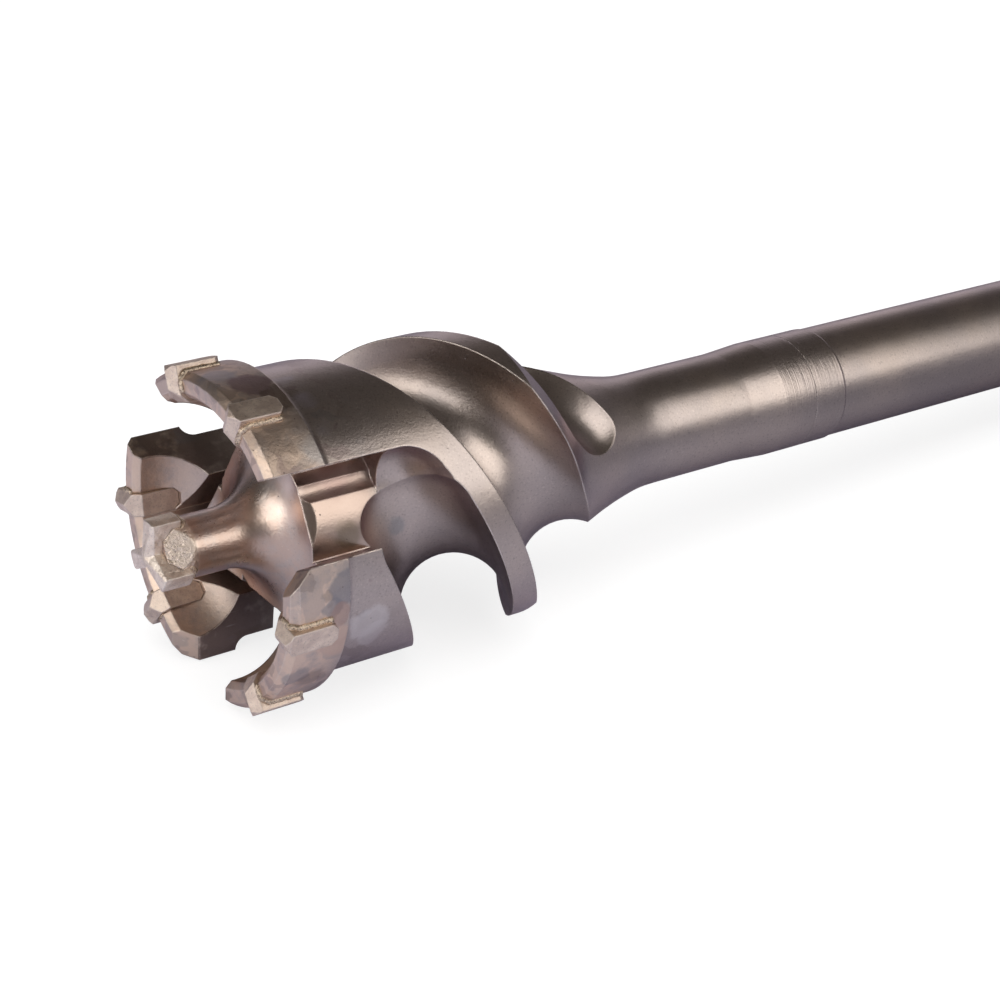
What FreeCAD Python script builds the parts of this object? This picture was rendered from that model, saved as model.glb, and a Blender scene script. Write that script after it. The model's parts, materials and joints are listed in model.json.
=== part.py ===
import FreeCAD
import Part
import math
import os

# A breakthrough drill bit: a wide crown with three cutting lobes, six brazed
# crown inserts and a short centring pilot, helical flutes, a waisted neck and a
# long shaft that ends in an 18 mm hammer drill shank.
# The tool is modelled upright on +Z, z = 0 at the crown's front face, and is
# laid down at the end the way it comes to rest on a bench.
# All lengths are millimetres and all angles are degrees.

# Overall
LOBE_COUNT = 3
TOOL_LENGTH = 550.0

# Crown ring
CROWN_RADIUS = 31.2
CROWN_DEPTH = 11.5
CROWN_WALL = 4.8
RIM_OUTER_CHAMFER_Z = 1.3
RIM_OUTER_CHAMFER_R = 1.2
RIM_INNER_CHAMFER = 1.2
GAP_HALF_ANGLE = 15.2
SHOULDER_FILLET = 2.5
CORNER_BEVEL = 3.8
CUTTER_CLEARANCE = 4.0

# Annular cavity round the pilot
CAVITY_ARC_START_Z = 2.6

# Pilot
PILOT_RADIUS = 5.75
NOSE_BASE_Z = -4.7
NOSE_TOP_Z = -9.2
NOSE_TOP_RADIUS = 3.3

# Pilot insert, one three-armed carbide plate
PILOT_TIP_Z = -12.3
PILOT_ARM_OVERHANG = 1.15
PILOT_ARM_WIDTH = 3.6
PILOT_ARM_REAR_Z = -5.6
PILOT_RIDGE_FALL = 1.1
PILOT_ROOF_ANGLE = 42.0
PILOT_RIDGE_BLUNT = 0.25

# Crown inserts, two on each lobe
INSERT_OVERHANG = 1.3
INSERT_INNER_OVERHANG = 0.9
INSERT_WIDTH = 4.4
INSERT_TIP_Z = -1.7
INSERT_REAR_Z = 8.6
INSERT_ROOF_ANGLE = 30.0
INSERT_INNER_CHAMFER = 2.7
INSERT_OUTER_CHAMFER = 0.8
INSERT_REAR_CORNER = 1.1
INSERT_OFFSET_ANGLE = 20.6
BRAZE_GAP = 0.06

# Shaft, and the neck and weld collar that are turned on it
SHAFT_RADIUS = 11.88
NECK_UNDERCUT = 0.33
NECK_STRAIGHT = 21.0
COLLAR_RISE = 0.27
COLLAR_LENGTH = 17.0
COLLAR_BLEND = 9.0
COLLAR_STEP = 0.4

# Helical flutes and the lands between them
LAND_STEP = 2.4
LAND_END_Z = 60.0
LAND_WIDTH = 5.6
LEAD = 85.1
CORE_ABOVE_NECK = 2.15
CAVITY_WEB = 2.15
FLUTE_START_ANGLE = 15.2
FLUTE_BEFORE_NECK = 20.0

# The waist behind the lands, as lengths from their end and shares of the fall
WAIST_LENGTH = 41.0
WAIST_POINTS = [(6.5, 0.716), (12.0, 0.449), (19.0, 0.275), (26.0, 0.142), (33.0, 0.044)]

# Slots between the lobes
SLOT_FLOOR_ABOVE_CORE = 2.6
TROUGH_RADIUS = 3.5
TROUGH_DEPTH = 1.1
SLOT_END_BEHIND_CAVITY = 15.1
SLOT_TURN_ANGLE = 4.0
SLOT_TURN_RISE = 1.0

# Shank
SHANK_RADIUS = 9.0
SHANK_LENGTH = 90.0
SHANK_TAPER = 12.0
SHANK_END_CHAMFER = 1.5

# Drive grooves and locking recesses of the shank
DRIVE_GROOVE_ANGLES = [90.0, 232.0, 308.0]
DRIVE_GROOVE_WIDTH = 3.6
DRIVE_GROOVE_DEPTH = 2.4
DRIVE_GROOVE_LENGTH = 58.0
LOCK_RECESS_COUNT = 2
LOCK_RECESS_WIDTH = 6.4
LOCK_RECESS_LENGTH = 26.0
LOCK_RECESS_DEPTH = 2.1
LOCK_RECESS_FROM_END = 32.0

# Worked out from the values above
ORIGIN = FreeCAD.Vector(0, 0, 0)
AXIS = FreeCAD.Vector(0, 0, 1)
RADIAL = FreeCAD.Vector(1, 0, 0)
PITCH_ANGLE = 360.0 / LOBE_COUNT
SHANK_END_Z = TOOL_LENGTH + PILOT_TIP_Z
WALL_INNER_RADIUS = CROWN_RADIUS - CROWN_WALL
LAND_RADIUS = CROWN_RADIUS - LAND_STEP
CAVITY_RADIUS = (WALL_INNER_RADIUS - PILOT_RADIUS) / 2
CAVITY_CENTRE_RADIUS = (WALL_INNER_RADIUS + PILOT_RADIUS) / 2
CAVITY_FLOOR_Z = CAVITY_ARC_START_Z + CAVITY_RADIUS
INSERT_RADIUS = CROWN_RADIUS + INSERT_OVERHANG
INSERT_INNER_RADIUS = WALL_INNER_RADIUS - INSERT_INNER_OVERHANG
PILOT_ARM_RADIUS = PILOT_RADIUS + PILOT_ARM_OVERHANG
NECK_RADIUS = SHAFT_RADIUS - NECK_UNDERCUT
NECK_START_Z = LAND_END_Z + WAIST_LENGTH
COLLAR_RADIUS = SHAFT_RADIUS + COLLAR_RISE
COLLAR_START_Z = NECK_START_Z + NECK_STRAIGHT + COLLAR_BLEND
COLLAR_END_Z = COLLAR_START_Z + COLLAR_LENGTH
WELD_Z = (COLLAR_START_Z + COLLAR_END_Z) / 2
CORE_RADIUS = NECK_RADIUS + CORE_ABOVE_NECK
SLOT_HALF_WIDTH = CROWN_RADIUS * math.sin(math.radians(GAP_HALF_ANGLE))
SLOT_FLOOR_RADIUS = CORE_RADIUS + SLOT_FLOOR_ABOVE_CORE
SLOT_END_Z = CAVITY_FLOOR_Z + SLOT_END_BEHIND_CAVITY
FLUTE_HALF_WIDTH = (LEAD / LOBE_COUNT - LAND_WIDTH) / 2
FLUTE_ANGLE = math.atan(LEAD / (2 * math.pi * LAND_RADIUS))
FLUTE_RADIUS = FLUTE_HALF_WIDTH * math.cos(FLUTE_ANGLE)
FLUTE_PATH_RADIUS = CORE_RADIUS + FLUTE_RADIUS
FLUTE_CENTRE_Z = CAVITY_FLOOR_Z + CAVITY_WEB + FLUTE_HALF_WIDTH
CUT_RADIUS = INSERT_RADIUS + CUTTER_CLEARANCE


def point(r, z):
    """A point of the half section, at radius r and height z."""
    return FreeCAD.Vector(r, 0, z)


def turned(edges):
    """Revolve a closed half section about the tool's axis."""
    face = Part.Face(Part.Wire(edges))
    return face.revolve(ORIGIN, AXIS, 360)


def lines(points):
    """Straight edges that join the points in order."""
    return [Part.makeLine(a, b) for a, b in zip(points, points[1:])]


def prism(points, direction):
    """Extrude the closed polygon through the points along the direction."""
    wire = Part.makePolygon(points + [points[0]])
    return Part.Face(wire).extrude(direction)


def at_angle(shape, angle, lift=0.0):
    """A copy of the shape, turned about the axis and lifted along it."""
    copy = shape.copy()
    copy.rotate(ORIGIN, AXIS, angle)
    copy.translate(AXIS * lift)
    return copy


def gap_angle(index):
    """The direction of a gap's middle, the first one pointing down at rest."""
    return -90.0 + PITCH_ANGLE * index


def lobe_angle(index):
    """The direction of a lobe's middle, halfway between two gaps."""
    return gap_angle(index) + PITCH_ANGLE / 2


def insert_angles():
    """The directions of all crown inserts, two on each lobe."""
    return [lobe_angle(index) + side * INSERT_OFFSET_ANGLE
            for index in range(LOBE_COUNT) for side in (-1, 1)]


def waist_curve():
    """The smooth waist from the end of the lands down to the neck."""
    fall = LAND_RADIUS - NECK_RADIUS
    points = [point(LAND_RADIUS, LAND_END_Z)]
    points += [point(NECK_RADIUS + share * fall, LAND_END_Z + length)
               for length, share in WAIST_POINTS]
    points.append(point(NECK_RADIUS, NECK_START_Z))
    curve = Part.BSplineCurve()
    start = FreeCAD.Vector(-0.75, 0, 1)
    curve.interpolate(Points=points, InitialTangent=start, FinalTangent=AXIS)
    return curve.toShape()


def shoulder():
    """The hollow fillet from the sharp rear edge of the crown to the lands."""
    fall = CROWN_RADIUS - LAND_RADIUS
    length = math.sqrt(2 * SHOULDER_FILLET * fall - fall ** 2)
    centre_r = LAND_RADIUS + SHOULDER_FILLET
    centre_z = CROWN_DEPTH + length
    half = math.asin(length / SHOULDER_FILLET) / 2
    middle = point(centre_r - SHOULDER_FILLET * math.cos(half),
                   centre_z - SHOULDER_FILLET * math.sin(half))
    start = point(CROWN_RADIUS, CROWN_DEPTH)
    end = point(LAND_RADIUS, centre_z)
    return Part.Arc(start, middle, end).toShape(), end


def head_blank():
    """The forged and turned head before its slots and flutes are milled."""
    cavity_floor = point(CAVITY_CENTRE_RADIUS, CAVITY_FLOOR_Z)
    arc_start = point(PILOT_RADIUS, CAVITY_ARC_START_Z)
    arc_end = point(WALL_INNER_RADIUS, CAVITY_ARC_START_Z)
    rim = [arc_end,
           point(WALL_INNER_RADIUS, RIM_INNER_CHAMFER),
           point(WALL_INNER_RADIUS + RIM_INNER_CHAMFER, 0),
           point(CROWN_RADIUS - RIM_OUTER_CHAMFER_R, 0),
           point(CROWN_RADIUS, RIM_OUTER_CHAMFER_Z),
           point(CROWN_RADIUS, CROWN_DEPTH)]
    step, land_start = shoulder()
    rear = [point(NECK_RADIUS, NECK_START_Z),
            point(NECK_RADIUS, COLLAR_START_Z - COLLAR_BLEND),
            point(COLLAR_RADIUS, COLLAR_START_Z),
            point(COLLAR_RADIUS, WELD_Z),
            point(0, WELD_Z),
            point(0, NOSE_TOP_Z),
            point(PILOT_RADIUS, NOSE_TOP_Z),
            arc_start]
    edges = [Part.Arc(arc_start, cavity_floor, arc_end).toShape()]
    edges += lines(rim)
    edges.append(step)
    edges += lines([land_start, point(LAND_RADIUS, LAND_END_Z)])
    edges.append(waist_curve())
    edges += lines(rear)
    return turned(edges)


def nose_cutter():
    """One wedge that takes a sloped flat off the pilot's nose."""
    slope = (PILOT_RADIUS - NOSE_TOP_RADIUS) / (NOSE_BASE_Z - NOSE_TOP_Z)
    outside = CUT_RADIUS / 2
    low = NOSE_BASE_Z + (outside - PILOT_RADIUS) / slope
    high = NOSE_TOP_Z - NOSE_TOP_RADIUS / slope
    section = [FreeCAD.Vector(0, -outside, high),
               FreeCAD.Vector(outside, -outside, low),
               FreeCAD.Vector(outside, -outside, high)]
    return prism(section, FreeCAD.Vector(0, 2 * outside, 0))


def ball_cutter(radius, floor_radius):
    """A round-nosed cutter that is plunged along +X down to its floor."""
    centre = RADIAL * (floor_radius + radius)
    ball = Part.makeSphere(radius, centre)
    shaft = Part.makeCylinder(radius, CUT_RADIUS, centre, RADIAL)
    return ball.fuse(shaft).removeSplitter()


def slot_cutter():
    """The straight slot between two lobes, with its hollow along one wall."""
    front = INSERT_TIP_Z
    length = SLOT_END_Z - front
    corner = FreeCAD.Vector(0, -SLOT_HALF_WIDTH, front)
    box = Part.makeBox(CUT_RADIUS, 2 * SLOT_HALF_WIDTH, length, corner)
    core = Part.makeCylinder(SLOT_FLOOR_RADIUS, length + 2, point(0, front - 1), AXIS)
    hollow = FreeCAD.Vector(SLOT_FLOOR_RADIUS - TROUGH_DEPTH + TROUGH_RADIUS,
                            TROUGH_RADIUS - SLOT_HALF_WIDTH, front)
    trough = Part.makeCylinder(TROUGH_RADIUS, length, hollow, AXIS)
    return box.cut(core).fuse(trough)


def slot_turn():
    """The round-nosed end of the slot, which turns a little into the flute."""
    ball = ball_cutter(SLOT_HALF_WIDTH, SLOT_FLOOR_RADIUS)
    turned_ball = at_angle(ball, SLOT_TURN_ANGLE, SLOT_TURN_RISE)
    return at_angle(ball.fuse(turned_ball), 0.0, SLOT_END_Z)


def corner_bevel():
    """The slanted face across the leading front corner of a lobe."""
    inside = CAVITY_CENTRE_RADIUS
    front = INSERT_TIP_Z
    section = [FreeCAD.Vector(inside, SLOT_HALF_WIDTH, CORNER_BEVEL),
               FreeCAD.Vector(inside, SLOT_HALF_WIDTH + CORNER_BEVEL - front, front),
               FreeCAD.Vector(inside, SLOT_HALF_WIDTH, front)]
    return prism(section, RADIAL * CUT_RADIUS)


def flute_section(slant):
    """The round-bottomed section of a flute, square to its helical path."""
    half = FLUTE_RADIUS
    low_left = point(FLUTE_PATH_RADIUS, -half)
    low_right = point(FLUTE_PATH_RADIUS, half)
    top = [low_right, point(CUT_RADIUS, half), point(CUT_RADIUS, -half), low_left]
    arc = Part.Arc(low_left, point(CORE_RADIUS, 0), low_right).toShape()
    section = Part.Wire([arc] + lines(top))
    section.rotate(ORIGIN, RADIAL, slant)
    return section


def flute_cutter():
    """One helical flute, from its slot round the waist, with rounded ends."""
    rise = LEAD / 360.0
    start_z = FLUTE_CENTRE_Z + rise * FLUTE_START_ANGLE
    height = NECK_START_Z - FLUTE_BEFORE_NECK - start_z
    slant = math.degrees(math.atan(LEAD / (2 * math.pi * FLUTE_PATH_RADIUS)))
    sweep = Part.BRepOffsetAPI.MakePipeShell(Part.makeHelix(LEAD, height, FLUTE_PATH_RADIUS))
    sweep.setFrenetMode(True)
    sweep.add(flute_section(slant))
    sweep.build()
    sweep.makeSolid()
    start = ball_cutter(FLUTE_RADIUS, CORE_RADIUS)
    end = at_angle(start, height / rise, height)
    groove = sweep.shape().multiFuse([start, end])
    return at_angle(groove, FLUTE_START_ANGLE, start_z)


def insert_section(growth):
    """The pentagon of a crown insert seen from outside, with its ridge."""
    half = INSERT_WIDTH / 2 + growth
    eave = INSERT_TIP_Z - growth + half * math.tan(math.radians(INSERT_ROOF_ANGLE))
    rear = INSERT_REAR_Z + growth
    corner = INSERT_REAR_CORNER
    outline = [(0, INSERT_TIP_Z - growth), (half, eave), (half, rear - corner),
               (half - corner, rear), (corner - half, rear), (-half, rear - corner),
               (-half, eave)]
    return [FreeCAD.Vector(0, y, z) for y, z in outline]


def crown_insert():
    """A carbide insert for the crown, pointing along +X."""
    body = prism(insert_section(0.0), RADIAL * CUT_RADIUS)
    inner = INSERT_INNER_RADIUS
    outer = INSERT_RADIUS
    limits = [point(inner, INSERT_REAR_Z),
              point(inner, INSERT_TIP_Z + INSERT_INNER_CHAMFER),
              point(inner + INSERT_INNER_CHAMFER, INSERT_TIP_Z),
              point(outer - INSERT_OUTER_CHAMFER, INSERT_TIP_Z),
              point(outer, INSERT_TIP_Z + INSERT_OUTER_CHAMFER),
              point(outer, INSERT_REAR_Z)]
    envelope = turned(lines(limits + [limits[0]]))
    return body.common(envelope)


def insert_pocket():
    """The seat that is milled through the crown wall for an insert."""
    return prism(insert_section(BRAZE_GAP), RADIAL * CUT_RADIUS)


def pilot_arm(growth, radius):
    """One arm of the pilot insert, roof-shaped in front, along +X."""
    half = PILOT_ARM_WIDTH / 2 + growth
    tip = PILOT_TIP_Z - growth
    rear = PILOT_ARM_REAR_Z + growth
    ridge = tip - PILOT_RIDGE_BLUNT
    eaves = ridge + half * math.tan(math.radians(PILOT_ROOF_ANGLE))
    outline = [(0, ridge), (half, eaves), (half, rear), (-half, rear), (-half, eaves)]
    section = [FreeCAD.Vector(0, y, z) for y, z in outline]
    arm = prism(section, RADIAL * CUT_RADIUS)
    slope = PILOT_RIDGE_FALL / PILOT_ARM_RADIUS
    limits = [point(0, tip),
              point(radius, tip + slope * radius),
              point(radius, rear),
              point(0, rear)]
    return arm.common(turned(lines(limits + [limits[0]])))


def pilot_cross(growth, radius):
    """The three arms joined, with the given growth on every side."""
    arms = [at_angle(pilot_arm(growth, radius), lobe_angle(i)) for i in range(LOBE_COUNT)]
    return arms[0].multiFuse(arms[1:]).removeSplitter()


def drill_head():
    """The one-piece steel head with all its milled forms."""
    cutters = []
    for index in range(LOBE_COUNT):
        gap = gap_angle(index)
        cutters.append(at_angle(slot_cutter(), gap))
        cutters.append(at_angle(slot_turn(), gap))
        cutters.append(at_angle(corner_bevel(), gap))
        cutters.append(at_angle(flute_cutter(), gap))
        cutters.append(at_angle(nose_cutter(), gap))
    zone = crown_zone()
    cutters += [at_angle(insert_pocket(), angle).common(zone) for angle in insert_angles()]
    cutters.append(pilot_cross(BRAZE_GAP, PILOT_ARM_RADIUS + BRAZE_GAP))
    head = head_blank()
    for cutter in cutters:
        head = head.cut(cutter)
    return head


def crown_zone():
    """The ring of space that the crown wall takes up, for its pockets."""
    base = point(0, INSERT_TIP_Z - CUTTER_CLEARANCE)
    height = INSERT_REAR_Z - INSERT_TIP_Z + 2 * CUTTER_CLEARANCE
    outer = Part.makeCylinder(CUT_RADIUS, height, base, AXIS)
    inner = Part.makeCylinder(CAVITY_CENTRE_RADIUS, height, base, AXIS)
    return outer.cut(inner)


def drive_groove():
    """An open groove of the shank, from its end towards the shaft."""
    half = DRIVE_GROOVE_WIDTH / 2
    floor = SHANK_RADIUS - DRIVE_GROOVE_DEPTH
    start = SHANK_END_Z - DRIVE_GROOVE_LENGTH
    corner = FreeCAD.Vector(floor, -half, start)
    box = Part.makeBox(SHANK_RADIUS, 2 * half, DRIVE_GROOVE_LENGTH + 1, corner)
    end = Part.makeCylinder(half, SHANK_RADIUS, FreeCAD.Vector(floor, 0, start), RADIAL)
    return box.fuse(end)


def lock_recess():
    """A closed, round-bottomed recess for the chuck's locking balls."""
    radius = LOCK_RECESS_WIDTH / 2
    axis_r = SHANK_RADIUS - LOCK_RECESS_DEPTH + radius
    rear = SHANK_END_Z - LOCK_RECESS_FROM_END - radius
    span = LOCK_RECESS_LENGTH - 2 * radius
    barrel = Part.makeCylinder(radius, span, point(axis_r, rear - span), AXIS)
    near = Part.makeSphere(radius, point(axis_r, rear))
    far = Part.makeSphere(radius, point(axis_r, rear - span))
    return barrel.multiFuse([near, far])


def shank():
    """The long shaft behind the weld, with its grooved drive shank."""
    shank_start = SHANK_END_Z - SHANK_LENGTH
    groove_start = SHANK_END_Z - DRIVE_GROOVE_LENGTH
    profile = [point(0, WELD_Z),
               point(COLLAR_RADIUS, WELD_Z),
               point(COLLAR_RADIUS, COLLAR_END_Z - COLLAR_STEP),
               point(SHAFT_RADIUS, COLLAR_END_Z),
               point(SHAFT_RADIUS, shank_start - SHANK_TAPER),
               point(SHANK_RADIUS, shank_start),
               point(SHANK_RADIUS, groove_start),
               point(SHANK_RADIUS, SHANK_END_Z - SHANK_END_CHAMFER),
               point(SHANK_RADIUS - SHANK_END_CHAMFER, SHANK_END_Z),
               point(0, SHANK_END_Z)]
    bar = turned(lines(profile + [profile[0]]))
    for angle in DRIVE_GROOVE_ANGLES:
        bar = bar.cut(at_angle(drive_groove(), angle))
    for index in range(LOCK_RECESS_COUNT):
        bar = bar.cut(at_angle(lock_recess(), 360.0 / LOCK_RECESS_COUNT * index))
    return bar


def laid_down(shape):
    """Lay the upright tool on the floor, resting on two lobes and its end."""
    contact_drop = CROWN_RADIUS * math.cos(math.radians(GAP_HALF_ANGLE))
    end_drop = SHANK_RADIUS
    run = SHANK_END_Z - SHANK_END_CHAMFER - CROWN_DEPTH
    tilt = math.atan2(contact_drop - end_drop, run)
    copy = shape.copy()
    copy.rotate(ORIGIN, FreeCAD.Vector(1, 1, 1), 120)
    copy.rotate(ORIGIN, FreeCAD.Vector(0, 1, 0), math.degrees(tilt))
    low = contact_drop * math.cos(tilt) + CROWN_DEPTH * math.sin(tilt)
    head_x = PILOT_TIP_Z * math.cos(tilt)
    end_x = SHANK_END_Z * math.cos(tilt)
    end_x += (SHANK_RADIUS - SHANK_END_CHAMFER) * math.sin(tilt)
    copy.translate(FreeCAD.Vector(-(head_x + end_x) / 2, 0, low))
    return copy


def model():
    """All nodes of the part by name, upright."""
    nodes = {"drill_head": drill_head(), "shank": shank()}
    for number, angle in enumerate(insert_angles(), 1):
        nodes["crown_insert_%d" % number] = at_angle(crown_insert(), angle)
    nodes["pilot_insert"] = pilot_cross(0.0, PILOT_ARM_RADIUS)
    return nodes


os.makedirs("parts", exist_ok=True)
for name, shape in model().items():
    placed = laid_down(shape)
    placed.exportStep(os.path.join("parts", name + ".step"))
    box = placed.BoundBox
    print("%s: %d solid(s), valid %s, volume %.1f, x %.2f..%.2f y %.2f..%.2f z %.2f..%.2f" % (
        name, len(placed.Solids), placed.isValid(), placed.Volume,
        box.XMin, box.XMax, box.YMin, box.YMax, box.ZMin, box.ZMax))
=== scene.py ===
import json
import logging
import math
from dataclasses import dataclass
from enum import Enum

import bmesh
import bpy
from mathutils import Euler, Matrix, Vector, noise


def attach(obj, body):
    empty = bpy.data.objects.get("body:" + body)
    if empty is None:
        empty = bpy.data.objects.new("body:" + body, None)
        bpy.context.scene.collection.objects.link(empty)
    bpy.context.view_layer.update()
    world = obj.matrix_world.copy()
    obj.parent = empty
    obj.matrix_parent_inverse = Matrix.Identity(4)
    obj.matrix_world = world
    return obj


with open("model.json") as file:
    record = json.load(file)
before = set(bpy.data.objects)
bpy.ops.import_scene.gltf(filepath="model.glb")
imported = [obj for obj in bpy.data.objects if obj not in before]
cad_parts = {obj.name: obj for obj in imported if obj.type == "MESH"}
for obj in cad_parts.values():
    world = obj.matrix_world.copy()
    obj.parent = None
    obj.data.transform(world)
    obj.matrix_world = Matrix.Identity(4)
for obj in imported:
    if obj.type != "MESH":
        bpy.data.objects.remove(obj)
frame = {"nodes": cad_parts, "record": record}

logging.basicConfig(level=logging.INFO, format="%(message)s")
log = logging.getLogger("breakthrough_bit")

MM = 0.001
Colour = tuple[float, float, float]
Socket = bpy.types.NodeSocket
Feed = Socket | float | Colour


class Slot(Enum):
    """The record's material slots."""

    HEAD = "head_steel"
    SHANK = "shank_steel"
    CARBIDE = "carbide"
    PILOT = "pilot_carbide"


@dataclass(frozen=True)
class ToolAxis:
    """Where the bit lies: the middle of its crown front and the way it runs back."""

    origin: Vector
    direction: Vector
    mount_to_front: float = 491.95 * MM

    @classmethod
    def from_record(cls, record: dict) -> "ToolAxis":
        """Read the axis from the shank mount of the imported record.

        Args:
            record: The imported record.

        Returns:
            The axis, with its origin in the crown's front plane.
        """
        mount = record["mounts"][0]
        direction = Vector(mount["axis"]).normalized()
        return cls(Vector(mount["pos_m"]) - direction * cls.mount_to_front, direction)

    @property
    def fall(self) -> float:
        """The angle by which the axis falls towards the shank, in radians."""
        return math.atan2(-self.direction.z, self.direction.x)

    def basis(self, angle: float) -> tuple[Vector, Vector]:
        """The outward and the sideways direction at an angle round the axis.

        Args:
            angle: Degrees from the far side over the top.

        Returns:
            The radial and the tangential unit vectors.
        """
        far = Vector((0.0, 1.0, 0.0))
        top = self.direction.cross(far)
        turn = math.radians(angle)
        outward = far * math.cos(turn) + top * math.sin(turn)
        sideways = top * math.cos(turn) - far * math.sin(turn)
        return outward, sideways

    def place(self, along: float, radius: float, angle: float, aside: float = 0.0) -> Vector:
        """A point on the tool, given in millimetres and degrees.

        Args:
            along: Distance behind the crown's front plane.
            radius: Distance from the axis.
            angle: Degrees from the far side over the top.
            aside: Sideways offset that keeps the radius.

        Returns:
            The point in the row frame, in metres.
        """
        outward, sideways = self.basis(angle)
        rise = math.sqrt(max(radius * radius - aside * aside, 0.0))
        return self.origin + (self.direction * along + outward * rise + sideways * aside) * MM


class NodeSheet:
    """A material's node tree, with short calls for the nodes that the finishes share."""

    def __init__(self, name: str, axis: ToolAxis) -> None:
        """Start a metal material and work out the tool's own coordinates.

        Args:
            name: The material's name.
            axis: The tool's axis.
        """
        self.material = bpy.data.materials.new(name)
        self.material.use_nodes = True
        self.tree = self.material.node_tree
        self.shader = self.tree.nodes["Principled BSDF"]
        self.shader.inputs["Metallic"].default_value = 1.0
        coords = self.node("ShaderNodeTexCoord")
        mapping = self.node("ShaderNodeMapping")
        turn = Euler((0.0, -axis.fall, 0.0), "XYZ")
        mapping.inputs["Rotation"].default_value = turn
        mapping.inputs["Scale"].default_value = (1 / MM,) * 3
        mapping.inputs["Location"].default_value = -(turn.to_matrix() @ axis.origin) / MM
        self.tree.links.new(coords.outputs["Object"], mapping.inputs["Vector"])
        self.place = mapping.outputs["Vector"]
        split = self.node("ShaderNodeSeparateXYZ")
        self.tree.links.new(self.place, split.inputs[0])
        self.along, self.far, self.top = split.outputs
        squares = self.maths("ADD", self.maths("MULTIPLY", self.far, self.far),
                             self.maths("MULTIPLY", self.top, self.top))
        self.radius = self.maths("SQRT", squares)

    def node(self, kind: str, **settings: object) -> bpy.types.Node:
        """Add a node.

        Args:
            kind: The node's type.
            **settings: Properties to set on it.

        Returns:
            The new node.
        """
        made = self.tree.nodes.new(kind)
        for name, value in settings.items():
            setattr(made, name, value)
        return made

    def feed(self, socket: Socket, value: Feed) -> None:
        """Link a socket to another, or give it a plain value.

        Args:
            socket: The input to fill.
            value: An output socket, a number or a colour.
        """
        if isinstance(value, bpy.types.NodeSocket):
            self.tree.links.new(value, socket)
        elif isinstance(value, tuple) and socket.type == "RGBA":
            socket.default_value = (*value, 1.0)
        else:
            socket.default_value = value

    def maths(self, operation: str, first: Feed, second: Feed = 0.0) -> Socket:
        """A sum, product or other operation on two values.

        Args:
            operation: The operation's name.
            first: The first value.
            second: The second value.

        Returns:
            The result.
        """
        made = self.node("ShaderNodeMath", operation=operation)
        self.feed(made.inputs[0], first)
        self.feed(made.inputs[1], second)
        return made.outputs[0]

    def fade(self, value: Feed, low: float, high: float) -> Socket:
        """A smooth step from 0 at low to 1 at high; it falls where low is the larger.

        Args:
            value: The value to judge.
            low: Where the step is 0.
            high: Where the step is 1.

        Returns:
            The step.
        """
        made = self.node("ShaderNodeMapRange", interpolation_type="SMOOTHSTEP")
        self.feed(made.inputs["Value"], value)
        if low < high:
            limits, ends = (low, high), (0.0, 1.0)
        else:
            limits, ends = (high, low), (1.0, 0.0)
        made.inputs["From Min"].default_value, made.inputs["From Max"].default_value = limits
        made.inputs["To Min"].default_value, made.inputs["To Max"].default_value = ends
        return made.outputs[0]

    def band(self, value: Feed, low: float, high: float, soft: float) -> Socket:
        """A mask that is 1 between two values, with soft ends.

        Args:
            value: The value to judge.
            low: The lower end.
            high: The upper end.
            soft: The width of each soft end.

        Returns:
            The mask.
        """
        return self.maths("MULTIPLY", self.fade(value, low - soft, low + soft),
                          self.fade(value, high + soft, high - soft))

    def all_of(self, *masks: Feed) -> Socket:
        """The product of several masks.

        Args:
            *masks: The masks.

        Returns:
            A mask that is 1 where all of them are.
        """
        result = masks[0]
        for mask in masks[1:]:
            result = self.maths("MULTIPLY", result, mask)
        return result

    def facing(self, angle: float, half: float, soft: float) -> Socket:
        """A mask for a sector of the tool round its axis.

        Args:
            angle: The sector's middle, in degrees from the far side over the top.
            half: Half the sector's width in degrees.
            soft: The width of its soft edge in degrees.

        Returns:
            The mask.
        """
        turn = math.radians(angle)
        dot = self.maths("ADD", self.maths("MULTIPLY", self.far, math.cos(turn)),
                         self.maths("MULTIPLY", self.top, math.sin(turn)))
        share = self.maths("DIVIDE", dot, self.radius)
        return self.fade(share, math.cos(math.radians(half + soft)),
                         math.cos(math.radians(max(half - soft, 0.0))))

    def grain(self, size: float, detail: float = 2.0, roughness: float = 0.5,
              place: Socket | None = None) -> Socket:
        """Cloudy noise with features of a given size.

        Args:
            size: The size of the features in millimetres.
            detail: How many finer layers are added.
            roughness: How strong the finer layers are.
            place: Where to read it, if not at the plain place.

        Returns:
            The noise, about 0.5 on average.
        """
        made = self.node("ShaderNodeTexNoise")
        made.inputs["Scale"].default_value = 1 / size
        made.inputs["Detail"].default_value = detail
        made.inputs["Roughness"].default_value = roughness
        self.feed(made.inputs["Vector"], self.place if place is None else place)
        return made.outputs["Fac"]

    def stretched(self, along: float, around: float) -> Socket:
        """The place drawn out along and across the axis, for lines and brush marks.

        Args:
            along: Factor along the axis.
            around: Factor across it.

        Returns:
            The scaled place.
        """
        made = self.node("ShaderNodeMapping")
        made.inputs["Scale"].default_value = (along, around, around)
        self.feed(made.inputs["Vector"], self.place)
        return made.outputs["Vector"]

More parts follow.
